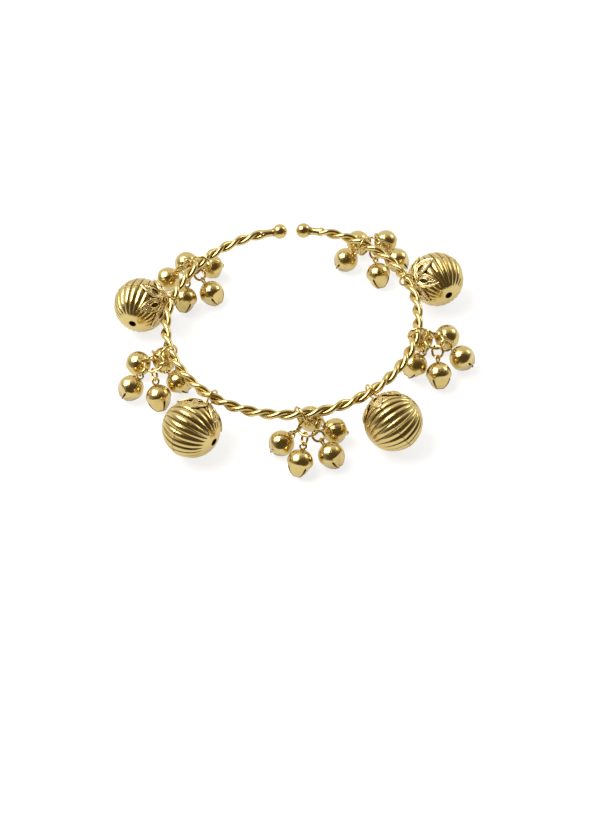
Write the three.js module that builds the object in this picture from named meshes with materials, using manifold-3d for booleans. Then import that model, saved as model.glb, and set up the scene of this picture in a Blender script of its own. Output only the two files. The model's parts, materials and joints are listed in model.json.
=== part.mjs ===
// Ghungroo bangle: an open twisted-wire cuff with fluted beads and clusters of small bells.
// Millimetres, +Z up, lying flat as it rests on a table.
import * as THREE from 'three';
import { mergeVertices } from 'three/addons/utils/BufferGeometryUtils.js';
import Module from 'manifold-3d';

const wasm = await Module();
wasm.setup();

// Cuff: two wires twisted together and bent into an open circle
const INNER_DIAMETER = 60;
const STRAND_RADIUS = 0.6;
const STRAND_CLEARANCE = 0.26;
const TWIST_RADIUS = STRAND_RADIUS + STRAND_CLEARANCE / 2;
const ROPE_RADIUS = TWIST_RADIUS + STRAND_RADIUS;
const CUFF_RADIUS = INNER_DIAMETER / 2 + ROPE_RADIUS;
const ROPE_HEIGHT = 10.4;
const TWISTS = 20;
const STEPS_PER_TWIST = 7;
const STRAND_SIDES = 5;

// Ball ends on plain necks, either side of the opening at the back
const OPENING_ANGLE = 90;
const BALL_RADIUS = 1.88;
const BALL_TO_BALL = 2.3;
const NECK_RADIUS = 1.05;
const NECK_LENGTH = 2.7;
const NECK_CLEARANCE = 0.35;
const BALL_SIDES = 10;
const BALL_LATITUDES = [-52, -20, 15, 40];

// Round wire of the jump rings, and the play left where one ring passes through another
const RING_WIRE_RADIUS = 0.3;
const RING_PLAY = 0.15;
const RING_RADIUS = 2.45;
const RING_STEPS = 12;
const RING_SIDES = 4;
const LINK_STEP = 2 * RING_WIRE_RADIUS + RING_PLAY;

// Fluted bead: two hollow pressed halves that meet at a seam
const BEAD_RADIUS = 7;
const BEAD_WALL = 0.8;
const BEAD_INNER_RADIUS = BEAD_RADIUS - BEAD_WALL;
const BEAD_HOLE_RADIUS = 0.75;
const BEAD_POLE_RADIUS = 1.7 * BEAD_HOLE_RADIUS;
const BEAD_SEAM = 0.06;
const FLUTES = 22;
const FLUTE_DEPTH = 0.38;
const FLUTE_END = 54;
const BEAD_INNER_SIDES = 12;
const BEAD_INNER_ROWS = [0, 36, 66];
const BORE_START = 0.98;
const CUT_MARGIN = 1;

// Wire eye that holds a bead on the rope and dips into the hole of its leaf cap
const EYE_WIRE_RADIUS = 0.25;
const EYE_CLEARANCE = 0.2;
const EYE_RADIUS = ROPE_RADIUS + EYE_CLEARANCE + EYE_WIRE_RADIUS;
const EYE_SEAT = 0.1;
const BEAD_REACH = EYE_RADIUS + EYE_WIRE_RADIUS + EYE_SEAT + BEAD_RADIUS;

// Leaf cap: a hub and six leaves that follow the bead, each leaf with a slot
const LEAF_COUNT = 6;
const CAP_CLEARANCE = 0.1;
const CAP_THICKNESS = 0.35;
const CAP_ROWS = [10.5, 16, 28, 42, 58];
const LEAF_WIDTH = 3;
const LEAF_SHAPE = [0, 0.58, 1, 1, 0.12];
const LEAF_SLOT_WIDTH = 1.1;
const LEAF_SLOTTED = [false, false, true, false];

// Bell: a thin dome closed by four prongs that leave a cross-shaped mouth
const BELL_RADIUS = 3.25;
const BELL_MOUTH = 3.5;
const BELL_WALL = 0.4;
const BELL_SIDES = 8;
const BELL_RING_RADIUS = 1.45;
const BELL_RING_TWIST = 40;
const BELL_RING_STEPS = 9;
const BELL_EYE_RADIUS = 0.72;
const BELL_EYE_WIRE = 0.3;
const BELL_EYE_STEP = 0.45;
const BELL_EYE_STEPS = 5;
const BELL_EYE_ROOT = 0.1;
const BELL_RING_CENTRE = BELL_RING_RADIUS - LINK_STEP;
const BELL_EYE_CENTRE = BELL_RING_CENTRE + BELL_RING_RADIUS + BELL_EYE_STEP;
const BELL_APEX = BELL_EYE_CENTRE + BELL_EYE_RADIUS - BELL_EYE_ROOT;

// Beads round the cuff: angle from the right, and turn of the bore away from the rope
const BEADS = [
  { at: 166, turn: -2 },
  { at: 233, turn: 2 },
  { at: 307, turn: -28 },
  { at: 22, turn: 4 },
];

// Bell clusters: angle, swing and yaw of the rope ring, heading and dip of the hub ring,
// and for each bell its direction and its lean below the hub ring's plane
const CLUSTERS = [
  { at: 138, swing: 12, yaw: 28, heading: 43, dip: 0,
    bells: [[-92, 47], [-30, 47], [34, 47], [116, 47], [178, 47]] },
  { at: 199, swing: 64, yaw: 18, heading: 10, dip: 14,
    bells: [[-114, 66.4], [-53, 43], [9, 29.8], [70, 41.9], [131, 65.4]] },
  { at: 274, swing: 18, yaw: 28, heading: 42, dip: 0,
    bells: [[-90, 47.8], [-24, 47.8], [44, 47.8], [110, 47.8], [174, 47.8]] },
  { at: 347, swing: 64, yaw: 16, heading: 2, dip: 14,
    bells: [[-122, 66.4], [-61, 43], [1, 29.8], [62, 41.9], [123, 65.4]] },
  { at: 53, swing: 16, yaw: 0, heading: 0, dip: 0,
    bells: [[-130, 47.5], [-66, 47.5], [2, 47.5], [68, 47.5], [132, 47.5]] },
];

const goldWire = new THREE.MeshStandardMaterial({ color: 0xc9a553, roughness: 0.24, metalness: 1 });
const goldSheet = new THREE.MeshStandardMaterial({ color: 0xc4a04c, roughness: 0.28, metalness: 1 });
const goldLeaf = new THREE.MeshStandardMaterial({ color: 0xb0904a, roughness: 0.42, metalness: 1 });

const rad = THREE.MathUtils.degToRad;
const X = new THREE.Vector3(1, 0, 0);

function meshOf(points, faces) {
  const geometry = new THREE.BufferGeometry();
  const flat = points.flatMap((p) => [p.x, p.y, p.z]);
  geometry.setAttribute('position', new THREE.Float32BufferAttribute(flat, 3));
  geometry.setIndex(faces.flat());
  return geometry;
}

// Skin over a row of outlines with equal point counts; the first and last may be single points
function loft(outlines) {
  const points = [];
  const faces = [];
  const sides = Math.max(...outlines.map((outline) => outline.length));
  const index = outlines.map((outline) => {
    const first = points.length;
    points.push(...outline);
    return (k) => first + (outline.length === 1 ? 0 : k % sides);
  });
  const closing = (outline) => {
    points.push(outline.reduce((sum, p) => sum.add(p), new THREE.Vector3()).divideScalar(sides));
    return points.length - 1;
  };
  const last = outlines.length - 1;
  const start = outlines[0].length === 1 ? -1 : closing(outlines[0]);
  const end = outlines[last].length === 1 ? -1 : closing(outlines[last]);
  for (let k = 0; k < sides; k++) {
    if (start >= 0) faces.push([start, index[0](k + 1), index[0](k)]);
    if (end >= 0) faces.push([end, index[last](k), index[last](k + 1)]);
    for (let i = 0; i < last; i++) {
      const [a, b] = [index[i], index[i + 1]];
      if (outlines[i].length > 1) faces.push([a(k), a(k + 1), b(k)]);
      if (outlines[i + 1].length > 1) faces.push([a(k + 1), b(k + 1), b(k)]);
    }
  }
  return meshOf(points, faces);
}

// Outline round the X axis at a given x, with one radius per point
function outlineAt(x, radii, sides) {
  return Array.from({ length: sides }, (_, k) => {
    const turn = (2 * Math.PI * k) / sides;
    const radius = Array.isArray(radii) ? radii[k % radii.length] : radii;
    return new THREE.Vector3(x, radius * Math.cos(turn), radius * Math.sin(turn));
  });
}

// Round bar along a line of points
function bar(line, radius, sides) {
  const normal = new THREE.Vector3(0, 0, 1);
  const outlines = line.map((point, i) => {
    const before = line[Math.max(i - 1, 0)];
    const after = line[Math.min(i + 1, line.length - 1)];
    const tangent = after.clone().sub(before).normalize();
    normal.addScaledVector(tangent, -normal.dot(tangent)).normalize();
    const side = tangent.clone().cross(normal);
    return Array.from({ length: sides }, (_, k) => {
      const turn = (2 * Math.PI * k) / sides;
      const out = normal.clone().multiplyScalar(radius * Math.cos(turn));
      return out.addScaledVector(side, radius * Math.sin(turn)).add(point);
    });
  });
  return loft(outlines);
}

function solidOf(geometry) {
  const bare = geometry.clone();
  bare.deleteAttribute('normal');
  bare.deleteAttribute('uv');
  const merged = mergeVertices(bare);
  const vertProperties = new Float32Array(merged.attributes.position.array);
  const triVerts = new Uint32Array(merged.index.array);
  return new wasm.Manifold(new wasm.Mesh({ numProp: 3, vertProperties, triVerts }));
}

function geometryOf(solid) {
  const mesh = solid.getMesh();
  const geometry = new THREE.BufferGeometry();
  geometry.setAttribute('position', new THREE.BufferAttribute(mesh.vertProperties, 3));
  geometry.setIndex(new THREE.BufferAttribute(mesh.triVerts, 1));
  return geometry;
}

function piece(name, geometry, material) {
  geometry.computeVertexNormals();
  const mesh = new THREE.Mesh(geometry, material);
  mesh.name = name;
  return mesh;
}

function ring(radius, wire, steps = RING_STEPS) {
  return new THREE.TorusGeometry(radius, wire, RING_SIDES, steps);
}

function cuffPoint(degrees, out = 0, up = 0) {
  const radius = CUFF_RADIUS + out;
  const angle = rad(degrees);
  return new THREE.Vector3(radius * Math.cos(angle), radius * Math.sin(angle), ROPE_HEIGHT + up);
}

// Pivot on the rope's centre line: +X points away from the wrist, +Y along the rope
function ropePivot(name, degrees) {
  const pivot = new THREE.Group();
  pivot.name = name;
  pivot.position.copy(cuffPoint(degrees));
  pivot.rotation.z = rad(degrees);
  return pivot;
}

const ballHalfAngle = THREE.MathUtils.radToDeg((BALL_RADIUS + BALL_TO_BALL / 2) / CUFF_RADIUS);
const neckAngle = THREE.MathUtils.radToDeg((BALL_RADIUS + NECK_LENGTH) / CUFF_RADIUS);
const ropeStart = OPENING_ANGLE + ballHalfAngle + neckAngle;
const ropeSweep = 360 - 2 * (ballHalfAngle + neckAngle);

// One wire of the left-handed twist; the two wires lie half a turn apart
function strand(phase) {
  const steps = TWISTS * STEPS_PER_TWIST;
  const line = Array.from({ length: steps + 1 }, (_, i) => {
    const along = i / steps;
    const turn = phase + 2 * Math.PI * TWISTS * along;
    const out = TWIST_RADIUS * Math.cos(turn);
    return cuffPoint(ropeStart + ropeSweep * along, out, TWIST_RADIUS * Math.sin(turn));
  });
  return bar(line, STRAND_RADIUS, STRAND_SIDES);
}

// Ball with its neck, pointed at the end of the rope
function endBall(name, side) {
  const centre = cuffPoint(OPENING_ANGLE + side * ballHalfAngle);
  const ropeEnd = cuffPoint(OPENING_ANGLE + side * (ballHalfAngle + neckAngle));
  const reach = ropeEnd.distanceTo(centre) - NECK_CLEARANCE;
  const joint = Math.asin(NECK_RADIUS / BALL_RADIUS);
  const rings = BALL_LATITUDES.map((angle) =>
    outlineAt(BALL_RADIUS * Math.sin(rad(angle)), BALL_RADIUS * Math.cos(rad(angle)), BALL_SIDES));
  const tip = [new THREE.Vector3(-BALL_RADIUS, 0, 0)];
  const root = outlineAt(BALL_RADIUS * Math.cos(joint), NECK_RADIUS, BALL_SIDES);
  const foot = outlineAt(reach, NECK_RADIUS, BALL_SIDES);
  const mesh = piece(name, loft([tip, ...rings, root, foot]), goldWire);
  mesh.position.copy(centre);
  mesh.quaternion.setFromUnitVectors(X, ropeEnd.clone().sub(centre).normalize());
  return mesh;
}

// Half of a bead from the seam to the pole, bored and hollowed, with its axis along +X
function beadHalf() {
  const sides = 2 * FLUTES;
  const rows = [0, FLUTE_END / 2, FLUTE_END];
  const fluted = rows.map((latitude) => {
    const depth = FLUTE_DEPTH * Math.cos(rad((90 * latitude) / FLUTE_END));
    const crest = BEAD_RADIUS * Math.cos(rad(latitude));
    const x = Math.max(BEAD_RADIUS * Math.sin(rad(latitude)), BEAD_SEAM / 2);
    return outlineAt(x, [crest, crest - depth], sides);
  });
  const pole = Math.asin(BEAD_POLE_RADIUS / BEAD_RADIUS);
  const tip = outlineAt(BEAD_RADIUS * Math.cos(pole), BEAD_RADIUS * Math.sin(pole), sides);
  const hollow = BEAD_INNER_ROWS.map((latitude) => {
    const from = rad(latitude);
    const x = latitude === 0 ? -CUT_MARGIN : BEAD_INNER_RADIUS * Math.sin(from);
    return outlineAt(x, BEAD_INNER_RADIUS * Math.cos(from), BEAD_INNER_SIDES);
  });
  const bore = [BORE_START * BEAD_INNER_RADIUS, BEAD_RADIUS + CUT_MARGIN].map((x) =>
    outlineAt(x, BEAD_HOLE_RADIUS, BEAD_INNER_SIDES));
  const shell = solidOf(loft([...fluted, tip])).subtract(solidOf(loft([...hollow, ...bore])));
  return geometryOf(shell);
}

// Leaf cap round +Z: a polar net of cells given a thickness, open between and inside the leaves
function leafCap() {
  const low = BEAD_RADIUS + CAP_CLEARANCE;
  const columns = 4 * LEAF_COUNT;
  const slotShare = LEAF_SLOT_WIDTH / LEAF_WIDTH;
  const shares = [-1, -slotShare, slotShare, 1];
  const points = [];
  const faces = [];
  const edges = new Map();
  for (const radius of [low + CAP_THICKNESS, low]) {
    CAP_ROWS.forEach((polar, row) => {
      const across = radius * Math.sin(rad(polar));
      for (let column = 0; column < columns; column++) {
        const leaf = Math.floor(column / 4);
        const even = rad((360 / columns) * ((column % 4) - 1.5));
        const half = (LEAF_WIDTH / 2) * LEAF_SHAPE[row];
        const shaped = (shares[column % 4] * half) / (low * Math.sin(rad(polar)));
        const middle = rad((360 * (leaf + 0.5)) / LEAF_COUNT);
        const azimuth = middle + (row === 0 ? even : shaped);
        points.push(new THREE.Vector3(across * Math.cos(azimuth), across * Math.sin(azimuth),
          radius * Math.cos(rad(polar))));
      }
    });
  }
  const under = CAP_ROWS.length * columns;
  for (let row = 0; row + 1 < CAP_ROWS.length; row++) {
    for (let column = 0; column < columns; column++) {
      const between = column % 4 === 3;
      const slot = column % 4 === 1 && LEAF_SLOTTED[row];
      if (row > 0 && (between || slot)) continue;
      const next = (column + 1) % columns;
      const corners = [row * columns + column, (row + 1) * columns + column];
      corners.push((row + 1) * columns + next, row * columns + next);
      const [a, b, c, d] = corners;
      faces.push([a, b, c], [a, c, d]);
      faces.push([under + c, under + b, under + a], [under + d, under + c, under + a]);
      corners.forEach((from, i) => {
        const to = corners[(i + 1) % 4];
        edges.set(`${from} ${to}`, [from, to]);
      });
    }
  }
  for (const [from, to] of edges.values()) {
    if (edges.has(`${to} ${from}`)) continue;
    faces.push([from, under + from, under + to], [from, under + to, to]);
  }
  return meshOf(points, faces);
}

// Bell along +X from its hinge: its jump ring, its eye, the dome and the four prongs.
// The skin runs from the crown over the outside to the prong tips and back up the inside.
function bellWithRing() {
  const outer = (x, flat, corner) => outlineAt(BELL_APEX + BELL_RADIUS + x, [flat, corner], BELL_SIDES);
  const inside = BELL_RADIUS - BELL_WALL;
  const skin = [
    [new THREE.Vector3(BELL_APEX, 0, 0)],
    outer(-0.72 * BELL_RADIUS, 0.7 * BELL_RADIUS, 0.7 * BELL_RADIUS),
    outer(-0.25 * BELL_WALL, BELL_RADIUS, BELL_RADIUS),
    outer(0.5 * BELL_MOUTH, 0.64 * BELL_RADIUS, 0.92 * BELL_RADIUS),
    outer(BELL_MOUTH, 0.6 * BELL_WALL, 0.5 * BELL_RADIUS),
    outer(BELL_MOUTH - 1.25 * BELL_WALL, 0.5 * BELL_WALL, 0.42 * BELL_RADIUS),
    outer(0.3 * BELL_MOUTH, 0.74 * inside, 0.9 * inside),
    outer(-0.5 * inside, 0.82 * inside, 0.82 * inside),
    [new THREE.Vector3(BELL_APEX + BELL_WALL, 0, 0)],
  ];
  const wide = ring(BELL_RING_RADIUS, RING_WIRE_RADIUS, BELL_RING_STEPS);
  wide.rotateX(rad(90 - BELL_RING_TWIST)).translate(BELL_RING_CENTRE, 0, 0);
  const small = ring(BELL_EYE_RADIUS, BELL_EYE_WIRE, BELL_EYE_STEPS);
  small.rotateX(rad(-BELL_RING_TWIST)).translate(BELL_EYE_CENTRE, 0, 0);
  return geometryOf(solidOf(loft(skin)).add(solidOf(wide)).add(solidOf(small)));
}

const bangle = new THREE.Group();
bangle.add(piece('strand_a', strand(0), goldWire));
bangle.add(piece('strand_b', strand(Math.PI), goldWire));
bangle.add(endBall('end_ball_left', 1));
bangle.add(endBall('end_ball_right', -1));

// Beads hang outward and come to rest on the table
const beadShell = beadHalf();
const cap = leafCap();
BEADS.forEach(({ at, turn }, i) => {
  const name = `bead_${i + 1}`;
  const pivot = ropePivot(`pivot_${name}`, at);
  pivot.add(piece(`${name}_eye`, ring(EYE_RADIUS, EYE_WIRE_RADIUS).rotateX(Math.PI / 2), goldWire));
  const fall = Math.asin((ROPE_HEIGHT - BEAD_RADIUS) / BEAD_REACH);
  const body = new THREE.Group();
  body.position.set(BEAD_REACH * Math.cos(fall), 0, -BEAD_REACH * Math.sin(fall));
  const toRope = body.position.clone().negate().normalize();
  const along = new THREE.Vector3(0, 1, 0);
  const basis = new THREE.Matrix4().makeBasis(along, toRope.clone().cross(along), toRope);
  body.quaternion.setFromRotationMatrix(basis);
  body.rotateZ(rad(turn));
  const near = piece(`${name}_shell_a`, beadShell.clone(), goldSheet);
  const far = piece(`${name}_shell_b`, beadShell.clone(), goldSheet);
  far.rotation.z = Math.PI;
  body.add(near, far, piece(`${name}_cap`, cap.clone(), goldLeaf));
  pivot.add(body);
  bangle.add(pivot);
});

// Clusters hang from a ring on the rope, which carries a hub ring and its bells
const ringDrop = RING_RADIUS - RING_WIRE_RADIUS - ROPE_RADIUS - RING_PLAY;
const hubDrop = ringDrop + RING_RADIUS - LINK_STEP;
const bell = bellWithRing();
CLUSTERS.forEach(({ at, swing, yaw, heading, dip, bells }, i) => {
  const name = `cluster_${i + 1}`;
  const pivot = ropePivot(`pivot_${name}`, at);
  const down = new THREE.Vector3(Math.sin(rad(swing)), 0, -Math.cos(rad(swing)));
  const upright = ring(RING_RADIUS, RING_WIRE_RADIUS).rotateX(Math.PI / 2);
  const ropeRing = piece(`${name}_rope_ring`, upright, goldWire);
  ropeRing.position.copy(down).multiplyScalar(ringDrop);
  ropeRing.rotation.z = rad(yaw);
  const hub = new THREE.Group();
  hub.name = `pivot_${name}_hub`;
  hub.position.copy(down).multiplyScalar(hubDrop);
  hub.rotation.set(0, rad(dip), rad(heading), 'ZYX');
  const hubRing = piece(`${name}_hub_ring`, ring(RING_RADIUS, RING_WIRE_RADIUS), goldWire);
  hubRing.position.x = RING_RADIUS;
  hub.add(hubRing);
  bells.forEach(([direction, lean], j) => {
    const around = rad(direction - heading);
    const hang = new THREE.Group();
    hang.name = `pivot_${name}_bell_${j + 1}`;
    hang.position.set(RING_RADIUS * (1 + Math.cos(around)), RING_RADIUS * Math.sin(around), 0);
    hang.rotation.set(0, rad(lean), around, 'ZYX');
    hang.add(piece(`${name}_bell_${j + 1}`, bell.clone(), goldSheet));
    hub.add(hang);
  });
  pivot.add(ropeRing, hub);
  bangle.add(pivot);
});

// The origin is the middle of the footprint, on the table
bangle.updateMatrixWorld(true);
const box = new THREE.Box3().setFromObject(bangle, true);
const centre = box.getCenter(new THREE.Vector3());
bangle.position.set(-centre.x, -centre.y, -box.min.z);

const part = new THREE.Group();
part.name = 'ghungroo_bangle';
part.add(bangle);

export default part;
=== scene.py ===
import json
import math

import bmesh
import bpy
import numpy as np
from bpy.props import FloatProperty, FloatVectorProperty, IntProperty, PointerProperty
from mathutils import Matrix, Vector

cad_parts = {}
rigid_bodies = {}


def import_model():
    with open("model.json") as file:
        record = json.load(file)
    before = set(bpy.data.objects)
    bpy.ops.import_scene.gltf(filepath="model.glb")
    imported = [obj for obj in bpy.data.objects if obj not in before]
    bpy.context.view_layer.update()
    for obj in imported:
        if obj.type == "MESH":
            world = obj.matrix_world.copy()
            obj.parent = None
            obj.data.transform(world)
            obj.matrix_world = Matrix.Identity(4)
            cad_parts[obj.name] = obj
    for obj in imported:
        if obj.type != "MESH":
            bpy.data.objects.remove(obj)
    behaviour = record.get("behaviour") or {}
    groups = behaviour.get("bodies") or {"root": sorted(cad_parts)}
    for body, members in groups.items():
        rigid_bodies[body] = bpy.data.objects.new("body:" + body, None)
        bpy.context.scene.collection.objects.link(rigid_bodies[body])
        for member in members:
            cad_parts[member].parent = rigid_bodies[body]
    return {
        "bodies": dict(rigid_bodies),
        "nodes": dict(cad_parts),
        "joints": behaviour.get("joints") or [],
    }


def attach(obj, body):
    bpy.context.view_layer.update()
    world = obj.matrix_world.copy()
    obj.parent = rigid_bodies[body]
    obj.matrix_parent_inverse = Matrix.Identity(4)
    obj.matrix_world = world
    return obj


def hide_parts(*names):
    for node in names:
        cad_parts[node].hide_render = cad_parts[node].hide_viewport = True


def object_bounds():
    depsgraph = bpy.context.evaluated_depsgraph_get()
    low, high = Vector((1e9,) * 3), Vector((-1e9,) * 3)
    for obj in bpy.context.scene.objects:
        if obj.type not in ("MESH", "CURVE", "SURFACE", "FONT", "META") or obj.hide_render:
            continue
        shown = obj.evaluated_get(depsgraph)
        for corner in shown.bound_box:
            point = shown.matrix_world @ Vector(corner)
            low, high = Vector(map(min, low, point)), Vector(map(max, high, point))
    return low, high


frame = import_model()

bl_info = {
    "name": "Ghungroo Bangle",
    "version": (1, 0, 0),
    "blender": (4, 5, 0),
    "location": "3D View > Sidebar > Bangle",
    "description": "Twisted cuff with fluted beads, leaf caps and clusters of small bells",
    "category": "Object",
}

MM = 0.001
CAD_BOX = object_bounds()
JOINTS = {joint["child"]: joint for joint in frame["joints"]}
BEADS = sorted(body for body in frame["bodies"] if body.startswith("bead_"))
CLUSTERS = sorted(body[: -len("_ring")] for body in frame["bodies"] if body.endswith("_ring"))
BELLS = sorted(body for body in frame["bodies"] if "_bell_" in body)
UP = np.array([0.0, 0.0, 1.0])

# Rounding of a wire's end: share of the radius, and step outwards in radii
WIRE_ENDS = ((0.86, 0.5), (0.0, 0.2))


# Reading the frame

def unit(vectors):
    """Vectors scaled to length 1."""
    vectors = np.asarray(vectors, float)
    return vectors / np.linalg.norm(vectors, axis=-1, keepdims=True)


def round_steps(count):
    """Angles of equal steps once round a circle."""
    return np.linspace(0, 2 * math.pi, count, endpoint=False)


def ramp(value, start, length):
    """0 up to a start, 1 from a length past it, and straight between them."""
    return np.clip((value - start) / length, 0, 1)


def pivot(body):
    """Place and axis of the hinge that carries a body."""
    joint = JOINTS[body]
    return np.array(joint["pos_m"], float), unit(joint["axis"])


def triangles(node):
    """Corners of a node's triangles, as an array of triangles, corners and coordinates."""
    mesh = frame["nodes"][node].data
    mesh.calc_loop_triangles()
    points = np.empty(3 * len(mesh.vertices), np.float32)
    mesh.vertices.foreach_get("co", points)
    index = np.empty(3 * len(mesh.loop_triangles), np.int32)
    mesh.loop_triangles.foreach_get("vertices", index)
    return points.reshape(-1, 3)[index].reshape(-1, 3, 3).astype(float)


def skin_weights(node):
    """Middles of a node's triangles, and their shares of its area."""
    corners = triangles(node)
    normals = np.cross(corners[:, 1] - corners[:, 0], corners[:, 2] - corners[:, 0])
    area = np.linalg.norm(normals, axis=1)
    return corners.mean(axis=1), area / area.sum()


def skin_centre(node):
    """Mean place of a node's skin, weighted by area."""
    middles, share = skin_weights(node)
    return share @ middles


def ring_axes(node):
    """Centre of a ring, and the direction in which its skin spreads least."""
    middles, share = skin_weights(node)
    centre = share @ middles
    away = middles - centre
    directions = np.linalg.eigh((away * share[:, None]).T @ away)[1]
    return centre, directions[:, 0]


def on_circle(angles):
    """Directions in the table's plane at angles from X."""
    return np.stack([np.cos(angles), np.sin(angles), np.zeros_like(angles)], axis=-1)


def rope_circle():
    """Centre and radius of the rope: the circle nearest to the hinges that sit on it."""
    bodies = BEADS + [f"{cluster}_ring" for cluster in CLUSTERS]
    places = np.array([pivot(body)[0] for body in bodies])
    flat = places[:, :2]
    terms = np.column_stack([2 * flat, np.ones(len(flat))])
    x, y, rest = np.linalg.lstsq(terms, (flat ** 2).sum(axis=1), rcond=None)[0]
    return np.array([x, y, places[:, 2].mean()]), math.sqrt(rest + x * x + y * y)


def end_angles(sizes):
    """Angles along the rope's circle: half the opening to a ball's middle, and on to the twist."""
    radius = rope_circle()[1]
    ball = (sizes.ball_radius + sizes.ball_gap / 2) / radius
    return ball, (sizes.ball_radius + sizes.neck_length) / radius


def bead_axes(body):
    """Centre of a bead and its axes: X along the bore, Z towards the rope."""
    one, other = skin_centre(f"{body}_shell_a"), skin_centre(f"{body}_shell_b")
    centre = (one + other) / 2
    z = unit(pivot(body)[0] - centre)
    x = one - other
    x = unit(x - (x @ z) * z)
    return centre, np.array([x, np.cross(z, x), z])


def bell_axes(body):
    """Hinge of a bell and its axes: X from the hinge through the mouth, Y along the hinge."""
    place, axis = pivot(body)
    x = skin_centre(body) - place
    x = unit(x - (x @ axis) * axis)
    return place, np.array([x, -axis, np.cross(x, -axis)])


def placed(points, centre, axes):
    """Points given along a piece's own axes, moved into the frame."""
    return centre + np.asarray(points) @ axes


def on_ball(polar, around, radius):
    """Points at an angle from the Z axis, an angle round it and a distance from the middle."""
    polar, around, radius = np.broadcast_arrays(polar, around, radius)
    return np.stack([radius * np.sin(polar) * np.cos(around),
                     radius * np.sin(polar) * np.sin(around), radius * np.cos(polar)], axis=-1)


# Surfaces on grids

def patch(points, recess=0.0, wrap=(False, False), span=(1.0, 1.0), middle=None):
    """A grid of points joined by four-sided faces that look away from a middle, which is the
    grid's own unless another is given. Recess, which the finishes paint as shade and tarnish, is 0
    on crests and 1 in deep places. Span is the grid's real length and width in millimetres."""
    rows, columns = points.shape[:2]
    i, j = np.meshgrid(np.arange(rows if wrap[0] else rows - 1),
                       np.arange(columns if wrap[1] else columns - 1), indexing="ij")
    steps = np.array([(0, 0), (0, 1), (1, 1), (1, 0)])
    down = i.reshape(-1, 1) + steps[:, 0]
    along = j.reshape(-1, 1) + steps[:, 1]
    faces = (down % rows) * columns + along % columns
    uv = np.stack([down * span[0] / max(rows - 1, 1), along * span[1] / columns], axis=-1)
    flat = points.reshape(-1, 3)
    corner = flat[faces]
    normal = np.cross(corner[:, 2] - corner[:, 0], corner[:, 3] - corner[:, 1])
    middle = flat.mean(axis=0) if middle is None else middle
    if ((corner.mean(axis=1) - middle) * normal).sum() < 0:
        faces, uv = faces[:, ::-1], uv[:, ::-1]
    deep = np.broadcast_to(np.asarray(recess, float), points.shape[:2]).reshape(-1)
    return flat, faces, deep, uv


def tube(path, radius, up, sides, closed=False, recess=0.0):
    """Round wire: a circle carried along a path with its first point towards up. Each end of
    an open wire is rounded off by a smaller circle and a point."""
    path = np.asarray(path, float)
    up = np.broadcast_to(np.asarray(up, float), path.shape)
    radius = np.broadcast_to(np.asarray(radius, float), len(path))
    recess = np.broadcast_to(np.asarray(recess, float), (len(path), sides))
    if closed:
        tangent = unit(np.roll(path, -1, axis=0) - np.roll(path, 1, axis=0))
    else:
        tangent = unit(np.gradient(path, axis=0))
        for shrink, reach in WIRE_ENDS:
            first = path[0] - tangent[0] * reach * radius[0]
            last = path[-1] + tangent[-1] * reach * radius[-1]
            path = np.vstack([first, path, last])
            tangent = np.vstack([tangent[:1], tangent, tangent[-1:]])
            up = np.vstack([up[:1], up, up[-1:]])
            radius = np.concatenate([[radius[0] * shrink], radius, [radius[-1] * shrink]])
            recess = np.vstack([recess[:1], recess, recess[-1:]])
    side = unit(np.cross(tangent, up))
    lift = np.cross(side, tangent)
    turn = round_steps(sides)[:, None]
    circle = lift[:, None] * np.cos(turn) + side[:, None] * np.sin(turn)
    points = path[:, None] + radius[:, None, None] * circle
    length = np.linalg.norm(np.diff(path, axis=0), axis=1).sum() / MM
    return patch(points, recess, (closed, True), (length, 2 * math.pi * radius.max() / MM))


def turned(profile, centre, axes, sides, recess=0.0):
    """Turned piece: a profile of places along X and radii, carried round X."""
    profile = np.asarray(profile, float)
    turn = round_steps(sides)
    points = np.stack([
        np.repeat(profile[:, :1], sides, axis=1),
        profile[:, 1:] * np.cos(turn),
        profile[:, 1:] * np.sin(turn),
    ], axis=-1)
    length = np.linalg.norm(np.diff(profile, axis=0), axis=1).sum() / MM
    deep = np.asarray(recess, float)
    deep = deep[:, None] if deep.ndim else deep
    width = 2 * math.pi * profile[:, 1].max() / MM
    return patch(placed(points, centre, axes), deep, (False, True), (length, width))


def jump_ring(centre, normal, radius, wire, start, steps=48, sides=10):
    """Jump ring: wire bent once round a circle, its two cut ends almost meeting and a little
    out of line. Start is the angle of the cut."""
    normal = unit(normal)
    across = unit(np.cross(normal, [0.31, 0.57, 0.76]))
    other = np.cross(normal, across)
    gap = 0.35 * wire / radius
    turn = np.linspace(start + gap, start + 2 * math.pi - gap, steps)[:, None]
    drift = np.linspace(-0.22, 0.22, steps)[:, None] ** 3 * 9
    path = centre + radius * (across * np.cos(turn) + other * np.sin(turn)) + normal * drift * wire
    # Painted shade and tarnish at the two cut ends
    recess = np.zeros((steps, sides))
    recess[[0, -1]] = 0.8
    return tube(path, wire, normal, sides, recess=recess)


def ball(centre, radius, rings, sides, recess):
    """Small ball: a circle of radius r sin a at height r cos a, for a from pole to pole."""
    lift = np.linspace(0, math.pi, rings + 1)
    profile = np.column_stack([radius * np.cos(lift), radius * np.sin(lift)])
    return turned(profile, centre, np.eye(3), sides, recess)


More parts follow.
